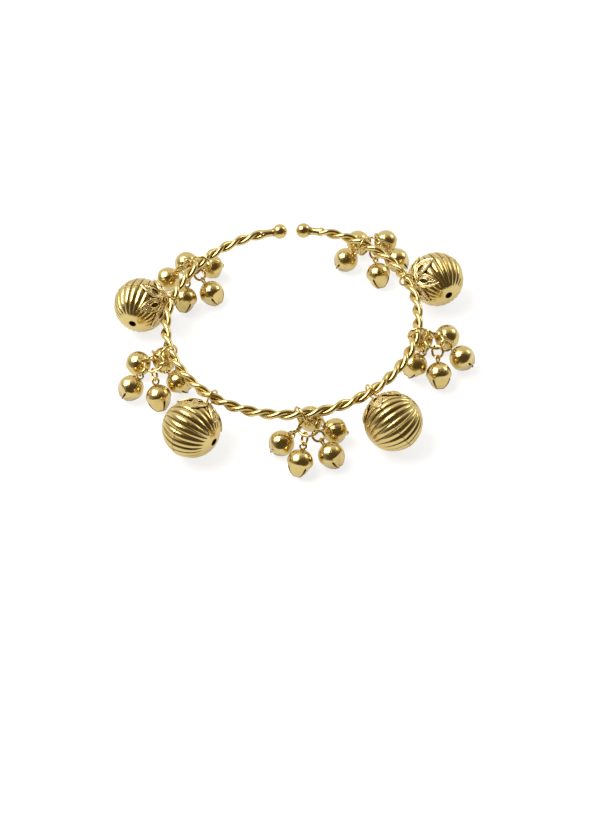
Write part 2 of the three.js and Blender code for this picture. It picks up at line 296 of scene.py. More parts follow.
def build(name, patches, material, body, nodes=(), wall=0.0, crease=38):
    """One piece from its patches: merged where they meet, smooth apart from creases, and
    riding on its body. Wall is a thickness added inwards."""
    starts = np.cumsum([0] + [len(p[0]) for p in patches[:-1]])
    points = np.vstack([p[0] for p in patches])
    faces = np.vstack([p[1] + start for p, start in zip(patches, starts)])
    recess = np.concatenate([p[2] for p in patches])
    uv = np.vstack([p[3] for p in patches])
    mesh = bpy.data.meshes.new(name)
    mesh.vertices.add(len(points))
    mesh.vertices.foreach_set("co", points.astype(np.float32).ravel())
    mesh.loops.add(faces.size)
    mesh.loops.foreach_set("vertex_index", faces.astype(np.int32).ravel())
    mesh.polygons.add(len(faces))
    mesh.polygons.foreach_set("loop_start", np.arange(0, faces.size, 4, dtype=np.int32))
    mesh.uv_layers.new(name="UVMap").data.foreach_set("uv", uv.astype(np.float32).ravel())
    # Recess: where the finishes paint shade and tarnish into the colour
    deep = mesh.attributes.new("recess", "FLOAT", "POINT")
    deep.data.foreach_set("value", recess.astype(np.float32))
    mesh.update(calc_edges=True)
    form = bmesh.new()
    form.from_mesh(mesh)
    bmesh.ops.remove_doubles(form, verts=form.verts, dist=1e-7)
    form.to_mesh(mesh)
    form.free()
    if mesh.validate():
        raise RuntimeError(f"{name} has faces that can't be built")
    mesh.shade_smooth()
    mesh.set_sharp_from_angle(angle=math.radians(crease))
    mesh.materials.append(material)
    piece = bpy.data.objects.new(name, mesh)
    bpy.context.scene.collection.objects.link(piece)
    if wall:
        thick = piece.modifiers.new("wall", "SOLIDIFY")
        thick.thickness = wall
        thick.offset = -1
        thick.use_even_offset = True
        thick.thickness_clamp = 1.0
    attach(piece, body)
    if nodes:
        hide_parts(*nodes)


# Finishes

class Graph:
    """Short way to add nodes and links to a material or a node group."""

    def __init__(self, tree):
        self.tree = tree
        self.tree.nodes.clear()

    def add(self, kind, settings=None, **inputs):
        """Adds a node. Inputs are values, or sockets to link, by name or place."""
        node = self.tree.nodes.new(kind)
        for key, value in (settings or {}).items():
            setattr(node, key, value)
        for key, value in inputs.items():
            place = int(key[1:]) if key[0] == "i" and key[1:].isdigit() else key.replace("_", " ")
            if isinstance(value, bpy.types.NodeSocket):
                self.tree.links.new(value, node.inputs[place])
            else:
                node.inputs[place].default_value = value
        return node

    def math(self, operation, first, second=0.0, third=0.0, clamp=False):
        """Adds a Math node and gives its output."""
        node = self.add("ShaderNodeMath", {"operation": operation, "use_clamp": clamp},
                        i0=first, i1=second, i2=third)
        return node.outputs[0]

    def blend(self, factor, low, high):
        """Adds a colour mix and gives its output."""
        node = self.add("ShaderNodeMix", {"data_type": "RGBA"}, i0=factor, i6=low, i7=high)
        return node.outputs[2]

    def noise(self, place, scale, detail=2.0, rough=0.5):
        """Adds a noise texture and gives its value."""
        node = self.add("ShaderNodeTexNoise", None, Vector=place, Scale=scale, Detail=detail,
                        Roughness=rough)
        return node.outputs[0]

    def spread(self, value, low, high, to_low=0.0, to_high=1.0):
        """Adds a Map Range from low and high to two other values, kept between them."""
        node = self.add("ShaderNodeMapRange", {"interpolation_type": "SMOOTHSTEP"},
                        i0=value, i1=low, i2=high, i3=to_low, i4=to_high)
        return node.outputs[0]


def new_group(name, inputs, outputs):
    """A node group with its inputs, whose values are numbers or colours, and its outputs. Gives
    the group, its graph and the sockets of its inputs."""
    group = bpy.data.node_groups.new(name, "ShaderNodeTree")
    for key, value in inputs.items():
        kind = "NodeSocketColor" if isinstance(value, tuple) else "NodeSocketFloat"
        made = group.interface.new_socket(name=key, in_out="INPUT", socket_type=kind)
        made.default_value = value
    for key, kind in outputs.items():
        group.interface.new_socket(name=key, in_out="OUTPUT", socket_type=kind)
    graph = Graph(group)
    return group, graph, graph.add("NodeGroupInput").outputs


def shade_and_tarnish_group():
    """Gold wash: bright on crests, and brown in recesses as painted shade and tarnish. Colour runs
    from bright through dull to deep as recess and cloudy noise rise, and roughness rises with it."""
    found = bpy.data.node_groups.get("gold_shade_and_tarnish")
    if found:
        return found
    group, graph, given = new_group(
        "gold_shade_and_tarnish",
        {"Recess": 0.0, "Bright": (0.8, 0.6, 0.25, 1), "Dull": (0.6, 0.4, 0.15, 1),
         "Deep": (0.1, 0.05, 0.01, 1), "Cloud Size": 260.0, "Smooth": 0.14, "Rough": 0.45},
        {"Color": "NodeSocketColor", "Roughness": "NodeSocketFloat"})
    place = graph.add("ShaderNodeTexCoord").outputs["Object"]
    cloud = graph.noise(place, given["Cloud Size"], 4.0, 0.6)
    speck = graph.noise(place, 5200.0)
    dull = graph.spread(cloud, 0.38, 0.72)
    edge = graph.math("MULTIPLY", graph.math("SUBTRACT", cloud, 0.5), 0.7)
    # Painted shade and tarnish: recess, stirred by the cloudy noise, darkens the colour towards Deep
    deep = graph.spread(graph.math("ADD", given["Recess"], edge), 0.3, 0.95)
    worn = graph.blend(graph.math("MULTIPLY", dull, 0.55), given["Bright"], given["Dull"])
    spotted = graph.spread(speck, 0.62, 0.74, 0.0, 0.3)
    worn = graph.blend(spotted, worn, given["Dull"])
    colour = graph.blend(deep, worn, given["Deep"])
    rough = graph.math("MAXIMUM", deep, graph.math("MULTIPLY", dull, 0.35))
    span = graph.math("SUBTRACT", given["Rough"], given["Smooth"])
    rough = graph.math("MULTIPLY_ADD", rough, span, given["Smooth"])
    graph.add("NodeGroupOutput", None, Color=colour, Roughness=rough)
    return group


def hammer_group():
    """Height of pressed sheet: broad soft dents, finer orange peel and thin scratches."""
    found = bpy.data.node_groups.get("sheet_marks")
    if found:
        return found
    group, graph, given = new_group(
        "sheet_marks",
        {"Dent Size": 420.0, "Grain Size": 6500.0, "Grain": 0.12, "Scratches": 0.1},
        {"Height": "NodeSocketFloat"})
    place = graph.add("ShaderNodeTexCoord").outputs["Object"]
    dents = graph.noise(place, given["Dent Size"], 1.5, 0.4)
    grain = graph.noise(place, given["Grain Size"], rough=0.6)
    turned_place = graph.add("ShaderNodeMapping", None, Vector=place, Rotation=(0.5, 0.3, 0.9),
                             Scale=(1.0, 14.0, 6.0)).outputs[0]
    lines = graph.spread(graph.noise(turned_place, 900.0), 0.58, 0.7)
    height = graph.math("MULTIPLY_ADD", grain, given["Grain"], dents)
    height = graph.math("SUBTRACT", height, graph.math("MULTIPLY", lines, given["Scratches"]))
    graph.add("NodeGroupOutput", None, Height=height)
    return group


def drawn_group():
    """Height of drawn wire: fine lines that run along the wire, read from its own UV map."""
    found = bpy.data.node_groups.get("wire_marks")
    if found:
        return found
    group, graph, given = new_group(
        "wire_marks", {"Line Size": 7.0, "Nick Size": 900.0}, {"Height": "NodeSocketFloat"})
    coords = graph.add("ShaderNodeTexCoord").outputs
    stretched = graph.add("ShaderNodeMapping", None, Vector=coords["UV"],
                          Scale=(0.12, 2.4, 1.0)).outputs[0]
    lines = graph.noise(stretched, given["Line Size"], 3.0, 0.6)
    nicks = graph.spread(graph.noise(coords["Object"], given["Nick Size"]), 0.3, 0.5)
    height = graph.math("MULTIPLY_ADD", lines, 0.4, nicks)
    graph.add("NodeGroupOutput", None, Height=height)
    return group


def gold(name, look, marks, mark_values, tone_values, depth):
    """One gold finish: colour with painted shade and tarnish, roughness, and marks for the bump."""
    found = bpy.data.materials.get(name)
    if found:
        return found
    material = bpy.data.materials.new(name)
    material.use_nodes = True
    graph = Graph(material.node_tree)
    # The recess attribute carries painted shade and tarnish into the colour
    recess = graph.add("ShaderNodeAttribute", {"attribute_name": "recess"}).outputs["Fac"]
    tone = graph.add("ShaderNodeGroup", {"node_tree": shade_and_tarnish_group()}, Recess=recess,
                     **look, **tone_values)
    mark = graph.add("ShaderNodeGroup", {"node_tree": marks}, **mark_values)
    bump = graph.add("ShaderNodeBump", None, Height=mark.outputs["Height"], Strength=1.0,
                     Distance=depth)
    shader = graph.add("ShaderNodeBsdfPrincipled", None, Base_Color=tone.outputs["Color"],
                       Roughness=tone.outputs["Roughness"], Metallic=1.0,
                       Normal=bump.outputs["Normal"])
    graph.add("ShaderNodeOutputMaterial", None, Surface=shader.outputs[0])
    return material


def finish_colours():
    """The colours of the gold wash as the panel holds them."""
    colours = bpy.context.scene.bangle_finish
    return {"Bright": (*colours.bright, 1), "Dull": (*colours.dull, 1), "Deep": (*colours.deep, 1)}


def wire_gold():
    """Polished drawn wire of the cuff, the rings and the eyes."""
    return gold("wire_gold", finish_colours(), drawn_group(), {},
                {"Cloud Size": 180.0, "Smooth": 0.13, "Rough": 0.4}, 0.00001)


def sheet_gold():
    """Polished pressed sheet of the beads."""
    return gold("sheet_gold", finish_colours(), hammer_group(), {"Dent Size": 360.0},
                {"Cloud Size": 150.0, "Smooth": 0.12, "Rough": 0.38}, 0.00005)


def bell_gold():
    """Pressed sheet of the bells, with more dents than the beads have."""
    return gold("bell_gold", finish_colours(), hammer_group(), {"Dent Size": 620.0},
                {"Cloud Size": 320.0, "Smooth": 0.11, "Rough": 0.4}, 0.00006)


def leaf_gold():
    """Cast leaves with a grainy skin, a paler wash that also paints the highlights on their
    wires, and recesses darker with painted shade and tarnish.
    """
    look = finish_colours()
    # Paler Bright: the leaves' own paler gold, and a painted highlight along their raised wires
    look["Bright"] = (*bpy.context.scene.bangle_finish.leaf, 1)
    # Darker Deep: painted shade and tarnish in the leaves' recesses
    look["Deep"] = (*(0.45 * Vector(bpy.context.scene.bangle_finish.deep)), 1)
    return gold("leaf_gold", look, hammer_group(),
                {"Dent Size": 1900.0, "Grain": 0.35, "Scratches": 0.0},
                {"Cloud Size": 500.0, "Smooth": 0.24, "Rough": 0.5}, 0.00006)


def pellet_steel():
    """Dull grey pellets inside the bells."""
    look = {"Bright": (0.3, 0.27, 0.22, 1), "Dull": (0.2, 0.17, 0.13, 1), "Deep": (0.05, 0.04, 0.03, 1)}
    return gold("pellet_steel", look, hammer_group(), {"Dent Size": 1500.0},
                {"Cloud Size": 900.0, "Smooth": 0.35, "Rough": 0.6}, 0.00005)


# Settings that a user would change

def in_mm(name, value, description):
    """A length setting, with its default in millimetres."""
    return FloatProperty(name=name, description=description, default=value * MM, unit="LENGTH",
                         precision=5)


def in_degrees(name, value, description):
    """An angle setting, with its default in degrees."""
    return FloatProperty(name=name, description=description, default=math.radians(value),
                         subtype="ANGLE")


def as_colour(name, value, description):
    """A colour setting, with its default as red, green and blue."""
    return FloatVectorProperty(name=name, description=description, default=value, size=3,
                               min=0, max=1, subtype="COLOR")


class CuffSettings(bpy.types.PropertyGroup):
    """Sizes of the twisted cuff and its ball ends."""

    wire_radius: in_mm("Wire radius", 0.665, "Radius of each of the two twisted wires")
    twists: IntProperty(name="Twists", default=20, min=1,
                        description="Full turns of the twist from end to end")
    ball_radius: in_mm("Ball radius", 1.95, "Radius of the ball on each end")
    ball_gap: in_mm("Opening", 2.3, "Gap between the two balls")
    neck_length: in_mm("Neck length", 2.7, "Plain stretch between a ball and the twist")
    neck_radius: in_mm("Neck radius", 1.05, "Radius of the plain neck behind each ball")
    opening_angle: in_degrees("Opening direction", 90, "Direction of the opening, from the right")


class BeadSettings(bpy.types.PropertyGroup):
    """Sizes of the fluted beads and their leaf caps."""

    radius: in_mm("Bead radius", 7, "Radius over the crests of the flutes")
    flutes: IntProperty(name="Flutes", default=22, min=3, description="Ribs round each bead")
    flute_depth: in_mm("Flute depth", 0.36, "Depth of the grooves between the ribs")
    flute_end: in_degrees("Flute end", 65, "Latitude from the seam at which the flutes run out")
    seam_slope: FloatProperty(name="Seam slope", default=0.11, min=0,
                              description="Slope of each half at the seam, which makes a low ridge")
    hole_radius: in_mm("Hole radius", 0.88, "Radius of the hole at each pole")
    leaves: IntProperty(name="Leaves", default=6, min=3, description="Leaves of each cap")
    leaf_width: in_mm("Leaf half width", 1.7, "Half the width of a leaf at its widest")
    leaf_start: in_degrees("Leaf base", 11, "Angle from the cap's middle to the base of a leaf")
    leaf_end: in_degrees("Leaf tip", 61, "Angle from the cap's middle to the tip of a leaf")
    eye_radius: in_mm("Eye radius", 1.78, "Radius of the wire eye round the rope")
    eye_wire: in_mm("Eye wire", 0.25, "Radius of the wire of the eye")


class BellSettings(bpy.types.PropertyGroup):
    """Sizes of the bells and of the jump rings that carry them."""

    radius: in_mm("Bell radius", 3.14, "Radius of the bell at its widest")
    mouth: in_mm("Mouth length", 3.5, "Length from the widest place to the pinched mouth")
    wall: in_mm("Wall", 0.24, "Thickness of the bell's sheet")
    slit: in_mm("Slit half width", 0.24, "Half the width of the slits of the mouth")
    apex: in_mm("Apex", 3.3, "Distance from the hinge to the top of the bell")
    eye_centre: in_mm("Eye place", 2.5, "Distance from the hinge to the middle of the bell's eye")
    eye_radius: in_mm("Eye radius", 0.8, "Radius of the eye on top of the bell")
    ring_radius: in_mm("Bell ring radius", 1.44, "Radius of the jump ring that carries one bell")
    ring_centre: in_mm("Bell ring place", 0.78, "Distance from the hinge to the middle of that ring")
    ring_twist: in_degrees("Bell ring twist", 40, "Turn of the ring about the bell's axis")
    hub_radius: in_mm("Hub ring radius", 2.45, "Radius of the hub rings and of the rings on the rope")
    ring_wire: in_mm("Ring wire", 0.3, "Radius of the wire of the jump rings")
    pellet_radius: in_mm("Pellet radius", 1.1, "Radius of the loose pellet inside a bell")


class FinishSettings(bpy.types.PropertyGroup):
    """Colours of the gold wash."""

    bright: as_colour("Bright", (0.74, 0.58, 0.235), "Polished crests")
    # Leaf: partly the caps' own paler gold and partly a painted highlight along their raised wires
    leaf: as_colour("Leaf", (0.86, 0.71, 0.38), "Paler wash of the leaf caps")
    dull: as_colour("Dull", (0.6, 0.43, 0.14), "Cloudy, less worn places")
    # Deep is painted shade as well as tarnish in recesses
    deep: as_colour("Deep", (0.24, 0.13, 0.02), "Tarnish in recesses")


class StageSettings(bpy.types.PropertyGroup):
    """Floor, lamps and camera."""

    floor: as_colour("Floor", (0.36, 0.36, 0.36), "Colour of the floor")
    glow: FloatProperty(name="Floor glow", default=0.78, min=0,
                        description="Light that the floor adds where the camera or metal sees it")
    room: as_colour("Room", (1.0, 0.76, 0.45), "Colour of the dim room in front")
    key: FloatProperty(name="Key lamp", unit="POWER", default=3.4,
                       description="Power of the large lamp above, on the left")
    fill: FloatProperty(name="Fill lamp", unit="POWER", default=0.5,
                        description="Power of the lamp on the right")
    sky: FloatProperty(name="Sky", default=0.31, min=0, description="Strength of the sky overhead")
    back: FloatProperty(name="Back", default=0.55, min=0,
                        description="Strength that the sky gains behind the part")
    lens: FloatProperty(name="Lens", unit="CAMERA", default=65.69,
                        description="Focal length for a 36 mm long side")


# Operators

class BANGLE_OT_cuff(bpy.types.Operator):
    """Twists two round wires together along the open circle of the cuff"""

    bl_idname = "bangle.cuff"
    bl_label = "Twisted cuff"

    STEPS_PER_TWIST = 24
    # Share of the rope's length that each wire runs on into its neck
    TUCK = 0.0015

    def execute(self, context):
        """Each wire is a circle carried along a helix round the rope's own circle. Painted shade and
        tarnish lie on the side that faces the other wire."""
        sizes = context.scene.bangle_cuff
        centre, radius = rope_circle()
        ball_half, neck = end_angles(sizes)
        steps, sides = self.STEPS_PER_TWIST * sizes.twists, 18
        share = np.linspace(-self.TUCK, 1 + self.TUCK, steps + 1)
        around = sizes.opening_angle + ball_half + neck
        around = around + (2 * math.pi - 2 * (ball_half + neck)) * share
        out = on_circle(around)
        turn = round_steps(sides)
        # Painted shade and tarnish on the side of each wire that faces the other
        groove = 0.8 * ramp(-np.cos(turn), -0.05, 1.05) ** 1.3
        for name, phase in (("strand_a", 0.0), ("strand_b", math.pi)):
            twist = (phase + 2 * math.pi * sizes.twists * share)[:, None]
            lean = out * np.cos(twist) + UP * np.sin(twist)
            path = centre + radius * out + sizes.wire_radius * lean
            wire = tube(path, sizes.wire_radius, lean, sides, recess=groove)
            build(f"{name}_wire", [wire], wire_gold(), "cuff", [name])
        return {"FINISHED"}


class BANGLE_OT_ends(bpy.types.Operator):
    """Puts a ball on a plain neck at each end of the cuff"""

    bl_idname = "bangle.ends"
    bl_label = "Ball ends"

    # Lip at the neck's end: step along in millimetres, and radius as a share of the neck's
    LIP = ((0.0, 1.12), (0.22, 1.17), (0.42, 1.1), (0.5, 0.9), (0.45, 0.0))
    # Painted shade and tarnish on the rows where the neck leaves the ball and on the lip's last rows
    FILLET_RECESS = (0.35, 0.7, 0.75, 0.5, 0.2)
    LIP_RECESS = 0.7

    def execute(self, context):
        """Each end is a ball, a neck and a rolled lip, turned as one. The neck's radius falls by
        a low sine along it, which makes a waist."""
        sizes = context.scene.bangle_cuff
        centre, radius = rope_circle()
        ball_half, neck = end_angles(sizes)
        joint = math.asin(1.06 * sizes.neck_radius / sizes.ball_radius)
        lift = np.linspace(0, math.pi - joint, 26)
        sphere = np.column_stack([-sizes.ball_radius * np.cos(lift), sizes.ball_radius * np.sin(lift)])
        for name, side in (("end_ball_left", 1), ("end_ball_right", -1)):
            angles = sizes.opening_angle + side * np.array([ball_half, ball_half + neck])
            places = centre + radius * on_circle(angles)
            x = unit(places[1] - places[0])
            reach = np.linalg.norm(places[1] - places[0])
            start = sphere[-1, 0]
            along = np.linspace(0, 1, 12)
            bow = 1 - 0.07 * np.sin(math.pi * along) ** 0.8 + 0.04 * along
            plain = np.column_stack([start + (reach - 0.1 * MM - start) * along[1:],
                                     sizes.neck_radius * bow[1:]])
            lip = np.array(self.LIP) * (MM, sizes.neck_radius) + (reach, 0.0)
            profile = np.vstack([sphere, plain, lip])
            # Painted shade and tarnish in the fillet and on the lip
            recess = np.zeros(len(profile))
            recess[24:29] = self.FILLET_RECESS
            recess[-3:] = self.LIP_RECESS
            form = turned(profile, places[0], np.array([x, np.cross(UP, x), UP]), 40, recess)
            build(f"{name}_turned", [form], wire_gold(), "cuff", [name])
        return {"FINISHED"}


class BANGLE_OT_beads(bpy.types.Operator):
    """Presses the two fluted halves of each hollow bead"""

    bl_idname = "bangle.beads"
    bl_label = "Fluted beads"

    COLUMNS_PER_FLUTE = 16
    WALL = 0.75 * MM
    # How far the sheet is turned in at the seam and at the rim of the hole
    SEAM_EDGE = 0.06 * MM
    HOLE_RIM = 0.05 * MM
    # Half the seam's gap
    SEAM_GAP = 0.03 * MM

    def execute(self, context):
        """A half runs over its outside from the hole to the seam and back over its inside.
        Outside, the radius falls by the flute depth times one minus a power of the cosine's
        size, which makes broad ribs and narrow grooves."""
        sizes = context.scene.bangle_beads
        columns = self.COLUMNS_PER_FLUTE * sizes.flutes
        around = round_steps(columns)
        hole = math.asin(sizes.hole_radius / sizes.radius)
        pole = math.pi / 2
        latitude = np.concatenate([
            np.linspace(pole - hole, sizes.flute_end + 0.06, 12),
            np.linspace(sizes.flute_end, 0.02, 34), [0.008, 0.004]])[:, None]
        depth = (1 - ramp(latitude, 0, sizes.flute_end) ** 4) ** 0.8
        groove = 1 - np.abs(np.cos(sizes.flutes * around / 2)) ** 0.75
        edge = self.SEAM_EDGE * (1 - ramp(latitude, 0.004, 0.008))
        rim = self.HOLE_RIM * ramp(latitude, pole - 1.7 * hole, 0.7 * hole) ** 2
        slope = sizes.seam_slope * sizes.radius * np.sin(latitude) * (1 - np.sin(latitude)) ** 2
        radius = sizes.radius - sizes.flute_depth * depth * groove - edge - rim - slope
        outer = on_ball(pole - latitude, around, radius)
        outer[..., 2] = np.maximum(outer[..., 2], self.SEAM_GAP)
        inside = np.array([0.006, 0.35, 0.75, 1.1, 1.35, pole - 1.05 * hole])[:, None]
        inner = on_ball(pole - inside, around, sizes.radius - self.WALL)
        bore_first = [2, 0, 1]
        points = np.concatenate([outer, inner])[..., bore_first]
        # Painted shade and tarnish: dark in the grooves, at the seam gap, round the hole and all over
        # the inside
        deep = np.clip(1.25 * groove ** 1.3 * depth, 0, 1)
        deep = np.maximum(deep, 0.85 * (1 - ramp(latitude, 0.004, 0.016)))
        deep = np.maximum(deep, ramp(latitude, pole - 1.35 * hole, 0.35 * hole))
        recess = np.vstack([deep, np.ones((len(inside), columns))])
        span = (math.pi * sizes.radius / MM, 2 * math.pi * sizes.radius / MM)
        half_turn = np.array([-1.0, -1.0, 1.0])
        for body in BEADS:
            centre, axes = bead_axes(body)
            for end, flip in (("a", 1.0), ("b", half_turn)):
                form = patch(placed(points * flip, centre, axes), recess, (True, True), span)
                build(f"{body}_half_{end}", [form], sheet_gold(), body,
                      [f"{body}_shell_{end}"], crease=50)
        return {"FINISHED"}


def leaf_width(along):
    """Share of a leaf's full half width at a share of its length: round at the base, widest
    before the middle and running to a point."""
    along = np.asarray(along, float)
    widest = 0.45
    base = (1 - (1 - ramp(along, 0, widest)) ** 2) ** 1.05
    tip = 1 - ramp(along, widest, 1 - widest) ** 1.7
    return np.where(along < widest, base, tip)


class BANGLE_OT_caps(bpy.types.Operator):
    """Lays a cap of filigree leaves over each bead, with the wire eye that holds it"""

    bl_idname = "bangle.caps"
    bl_label = "Leaf caps and eyes"

    # Shares of a leaf: ends of the slot along it, and widths of the slot, of its wire, of the
    # edge wire, of the inner line and of the gap along the vein
    SLOT = (0.17, 0.56)
    SLOT_WIDTH = 0.37
    SLOT_WIRE_WIDTH = 0.39
    EDGE_WIDTH = 0.92
    INNER_LINE_WIDTH = 0.66
    VEIN_GAP = 0.02
    # Places of the twigs and of the grains along a leaf
    TWIGS = (0.58, 0.68, 0.78)
    GRAINS = (0.2, 0.27, 0.34, 0.5, 0.63, 0.75)
    # Radii of a leaf's wires and grains
    EDGE_WIRE = 0.19 * MM
    SLOT_WIRE = 0.13 * MM
    VEIN = 0.1 * MM
    INNER_LINE = 0.085 * MM
    TWIG = 0.08 * MM
    GRAIN = 0.12 * MM
    # Heights above the bead's crests
    SEAT = 0.03 * MM
    WIRE_LIFT = 0.2 * MM
    PLATE = 0.12 * MM
    HOOP_LIFT = 0.26 * MM
    # Section of the collar: angle from the cap's middle in degrees, and height in millimetres
    COLLAR = ((10.2, 0.3), (12.0, 0.3), (14.5, 0.28), (17.0, 0.2),
              (17.0, 0.0), (14.5, 0.0), (12.0, 0.0), (10.2, 0.0))
    # Hoops on the collar: angle in degrees, and radius of the wire in millimetres
    HOOPS = ((10.4, 0.2), (16.6, 0.13))
    # Half the eye's opening in radians, how far its legs reach in and how they spread
    EYE_OPENING = 0.16
    LEG_DEPTH = 0.35 * MM
    LEG_SPREAD = 0.35

    def slot_width(self, along):
        """Half width of a leaf's slot as a share of the leaf: an oval near the base."""
        low, high = self.SLOT
        share = ramp(along, low, high - low)
        return self.SLOT_WIDTH * np.sqrt(np.clip(4 * share * (1 - share), 0, None))

    def leaf(self, sizes, middle):
        """Patches of one leaf: two plates beside the slot, raised wires along the edge, round
        the slot and inside the edge, a middle vein, twigs and grains."""
        start, length = sizes.leaf_start, sizes.leaf_end - sizes.leaf_start
        low = sizes.radius + self.SEAT
        wires = low + self.WIRE_LIFT

        def spot(along, aside, radius):
            """Points at shares of the leaf's length and of its half width, and at a distance."""
            polar = start + length * np.asarray(along, float)
            wide = sizes.leaf_width * leaf_width(along) / (low * np.sin(polar))
            return on_ball(polar, middle + np.asarray(aside) * wide, radius)

        def strip(along, aside, wire, lower=0.0, closed=False, sides=7):
            """Round wire through such points, lower by so much than the other wires."""
            path = spot(along, aside, wires - lower)
            return tube(path, wire, unit(path), sides, closed)

        made = []
        rows = np.linspace(0.0, 1.0, 40)[:, None]
        across = np.linspace(0, 1, 7)[None, :]
        for side in (-1, 1):
            inner = np.maximum(self.slot_width(rows), self.VEIN_GAP)
            aside = side * (inner + (1 - inner) * across)
            ripple = 0.03 * MM * np.sin(60 * rows + 5 * np.abs(aside)) * np.sin(9 * np.abs(aside))
            ends = np.clip(20 * rows * (1 - rows), 0, 1)
            top = spot(rows, aside, low + (self.PLATE + ripple) * ends)
            under = spot(rows, aside[:, ::-1], low + 0 * ripple)
            # Painted shade and tarnish on the plates, which lie lower than the wires
            made.append(patch(np.concatenate([top, under], axis=1), 0.32, (False, True), (6.0, 3.0)))
        loop = np.concatenate([np.linspace(0.0, 1.0, 30), np.linspace(1.0, 0.0, 30)[1:-1]])
        sides = np.concatenate([np.ones(30), -np.ones(28)])
        made.append(strip(loop, self.EDGE_WIDTH * sides, self.EDGE_WIRE, closed=True, sides=8))
        turn = round_steps(24)
        low_slot, high_slot = self.SLOT
        along = (low_slot + high_slot) / 2 + (high_slot - low_slot) / 2 * np.cos(turn)
        aside = self.SLOT_WIRE_WIDTH * np.sin(turn)
        made.append(strip(along, aside, self.SLOT_WIRE, 0.01 * MM, True))
        # A dark sheet under the slot: painted shade where the slot looks down on the bead
        shrink = np.array([[0.0], [1.0], [1.0], [0.0]])
        rise = np.array([[0.0], [0.0], [0.05], [0.05]]) * MM
        slot_shade_sheet = spot(along.mean() + (along - along.mean()) * shrink, aside * shrink, low + rise)
        made.append(patch(slot_shade_sheet, 1.2, (False, True), (2.0, 1.3)))
        vein = np.linspace(high_slot + 0.02, 0.95, 14)
        made.append(strip(vein, 0 * vein, self.VEIN * np.linspace(1.1, 0.7, 14), 0.03 * MM))
        inside = np.linspace(0.1, 0.9, 22)
        line = np.full(22, self.INNER_LINE_WIDTH)
        share = np.linspace(0, 1, 8)
        for side in (-1, 1):
            made.append(strip(inside, side * line, self.INNER_LINE, 0.05 * MM, sides=6))
            for root in self.TWIGS:
                twig = root + 0.1 * share ** 1.6
                made.append(strip(twig, side * 0.6 * share, self.TWIG, 0.05 * MM, sides=6))
            for along in self.GRAINS:
                aside = 0.57 if along < high_slot else 0.36
                place = spot(along, side * aside, wires - 0.09 * MM)
                made.append(ball(place, self.GRAIN, 4, 7, 0.1))
        made.append(ball(spot(0.04, 0.0, wires - 0.06 * MM), 1.25 * self.GRAIN, 4, 7, 0.1))
        return made

    def eye(self, sizes, body, centre, z):
        """Wire eye of a bead: round the rope in a circle that stays open towards the bead, with
        a straight leg from each end of the circle down through the cap."""
        place, axis = pivot(body)
        y = np.cross(axis, z)
        arc = np.linspace(self.EYE_OPENING, 2 * math.pi - self.EYE_OPENING, 40)[:, None]
        loop = place + sizes.eye_radius * (-z * np.cos(arc) + y * np.sin(arc))
        drop = np.linspace(0.0, 1.0, 5)[1:, None]
        legs = []
        for end in (loop[0], loop[-1]):
            aside = self.LEG_SPREAD * (end - place + sizes.eye_radius * z)
            foot = centre + z * (sizes.radius - self.LEG_DEPTH) + aside
            legs.append(end + (foot - end) * drop)
        path = np.vstack([legs[0][::-1], loop, legs[1]])
        return tube(path, sizes.eye_wire, axis, 10)

    def execute(self, context):
        """The cap is made along the bead's own axes and then moved on to each bead."""
        sizes = context.scene.bangle_beads
        low = sizes.radius + self.SEAT
        middles = 2 * math.pi * (np.arange(sizes.leaves) + 0.5) / sizes.leaves
        made = [form for middle in middles for form in self.leaf(sizes, middle)]
        turn = round_steps(60)
        polar, height = np.array(self.COLLAR).T[:, :, None]
        polar, height = np.radians(polar), height * MM
        collar = on_ball(polar, turn, low + height)
        # Painted shade and tarnish on the collar between the hoops
        made.append(patch(collar, 0.5, (True, True), (4.0, 9.0)))
        for angle, wire in self.HOOPS:
            hoop = on_ball(math.radians(angle), turn, low + self.HOOP_LIFT)
            made.append(tube(hoop, wire * MM, unit(hoop), 8, True))
        for body in BEADS:
            centre, axes = bead_axes(body)
            moved = [(placed(form[0], centre, axes), *form[1:]) for form in made]
            build(f"{body}_leaves", moved, leaf_gold(), body, [f"{body}_cap"])
            eye = self.eye(sizes, body, centre, axes[2])
            build(f"{body}_eye_wire", [eye], wire_gold(), body, [f"{body}_eye"])
        return {"FINISHED"}


class BANGLE_OT_links(bpy.types.Operator):
    """Bends the jump rings on the rope and the hub rings that hang from them"""

    bl_idname = "bangle.links"
    bl_label = "Rope rings and hub rings"

    def execute(self, context):
        """Each ring is one turn of wire with its cut at a place of its own."""
        sizes = context.scene.bangle_bells
        for count, cluster in enumerate(CLUSTERS):
            for kind, body in (("rope_ring", f"{cluster}_ring"), ("hub_ring", f"{cluster}_hub")):
                node = f"{cluster}_{kind}"
                centre, normal = ring_axes(node)
                start = 2.4 * count + (1.1 if kind == "hub_ring" else 0.2)
                form = jump_ring(centre, normal, sizes.hub_radius, sizes.ring_wire, start)
                build(f"{node}_wire", [form], wire_gold(), body, [node])
        return {"FINISHED"}


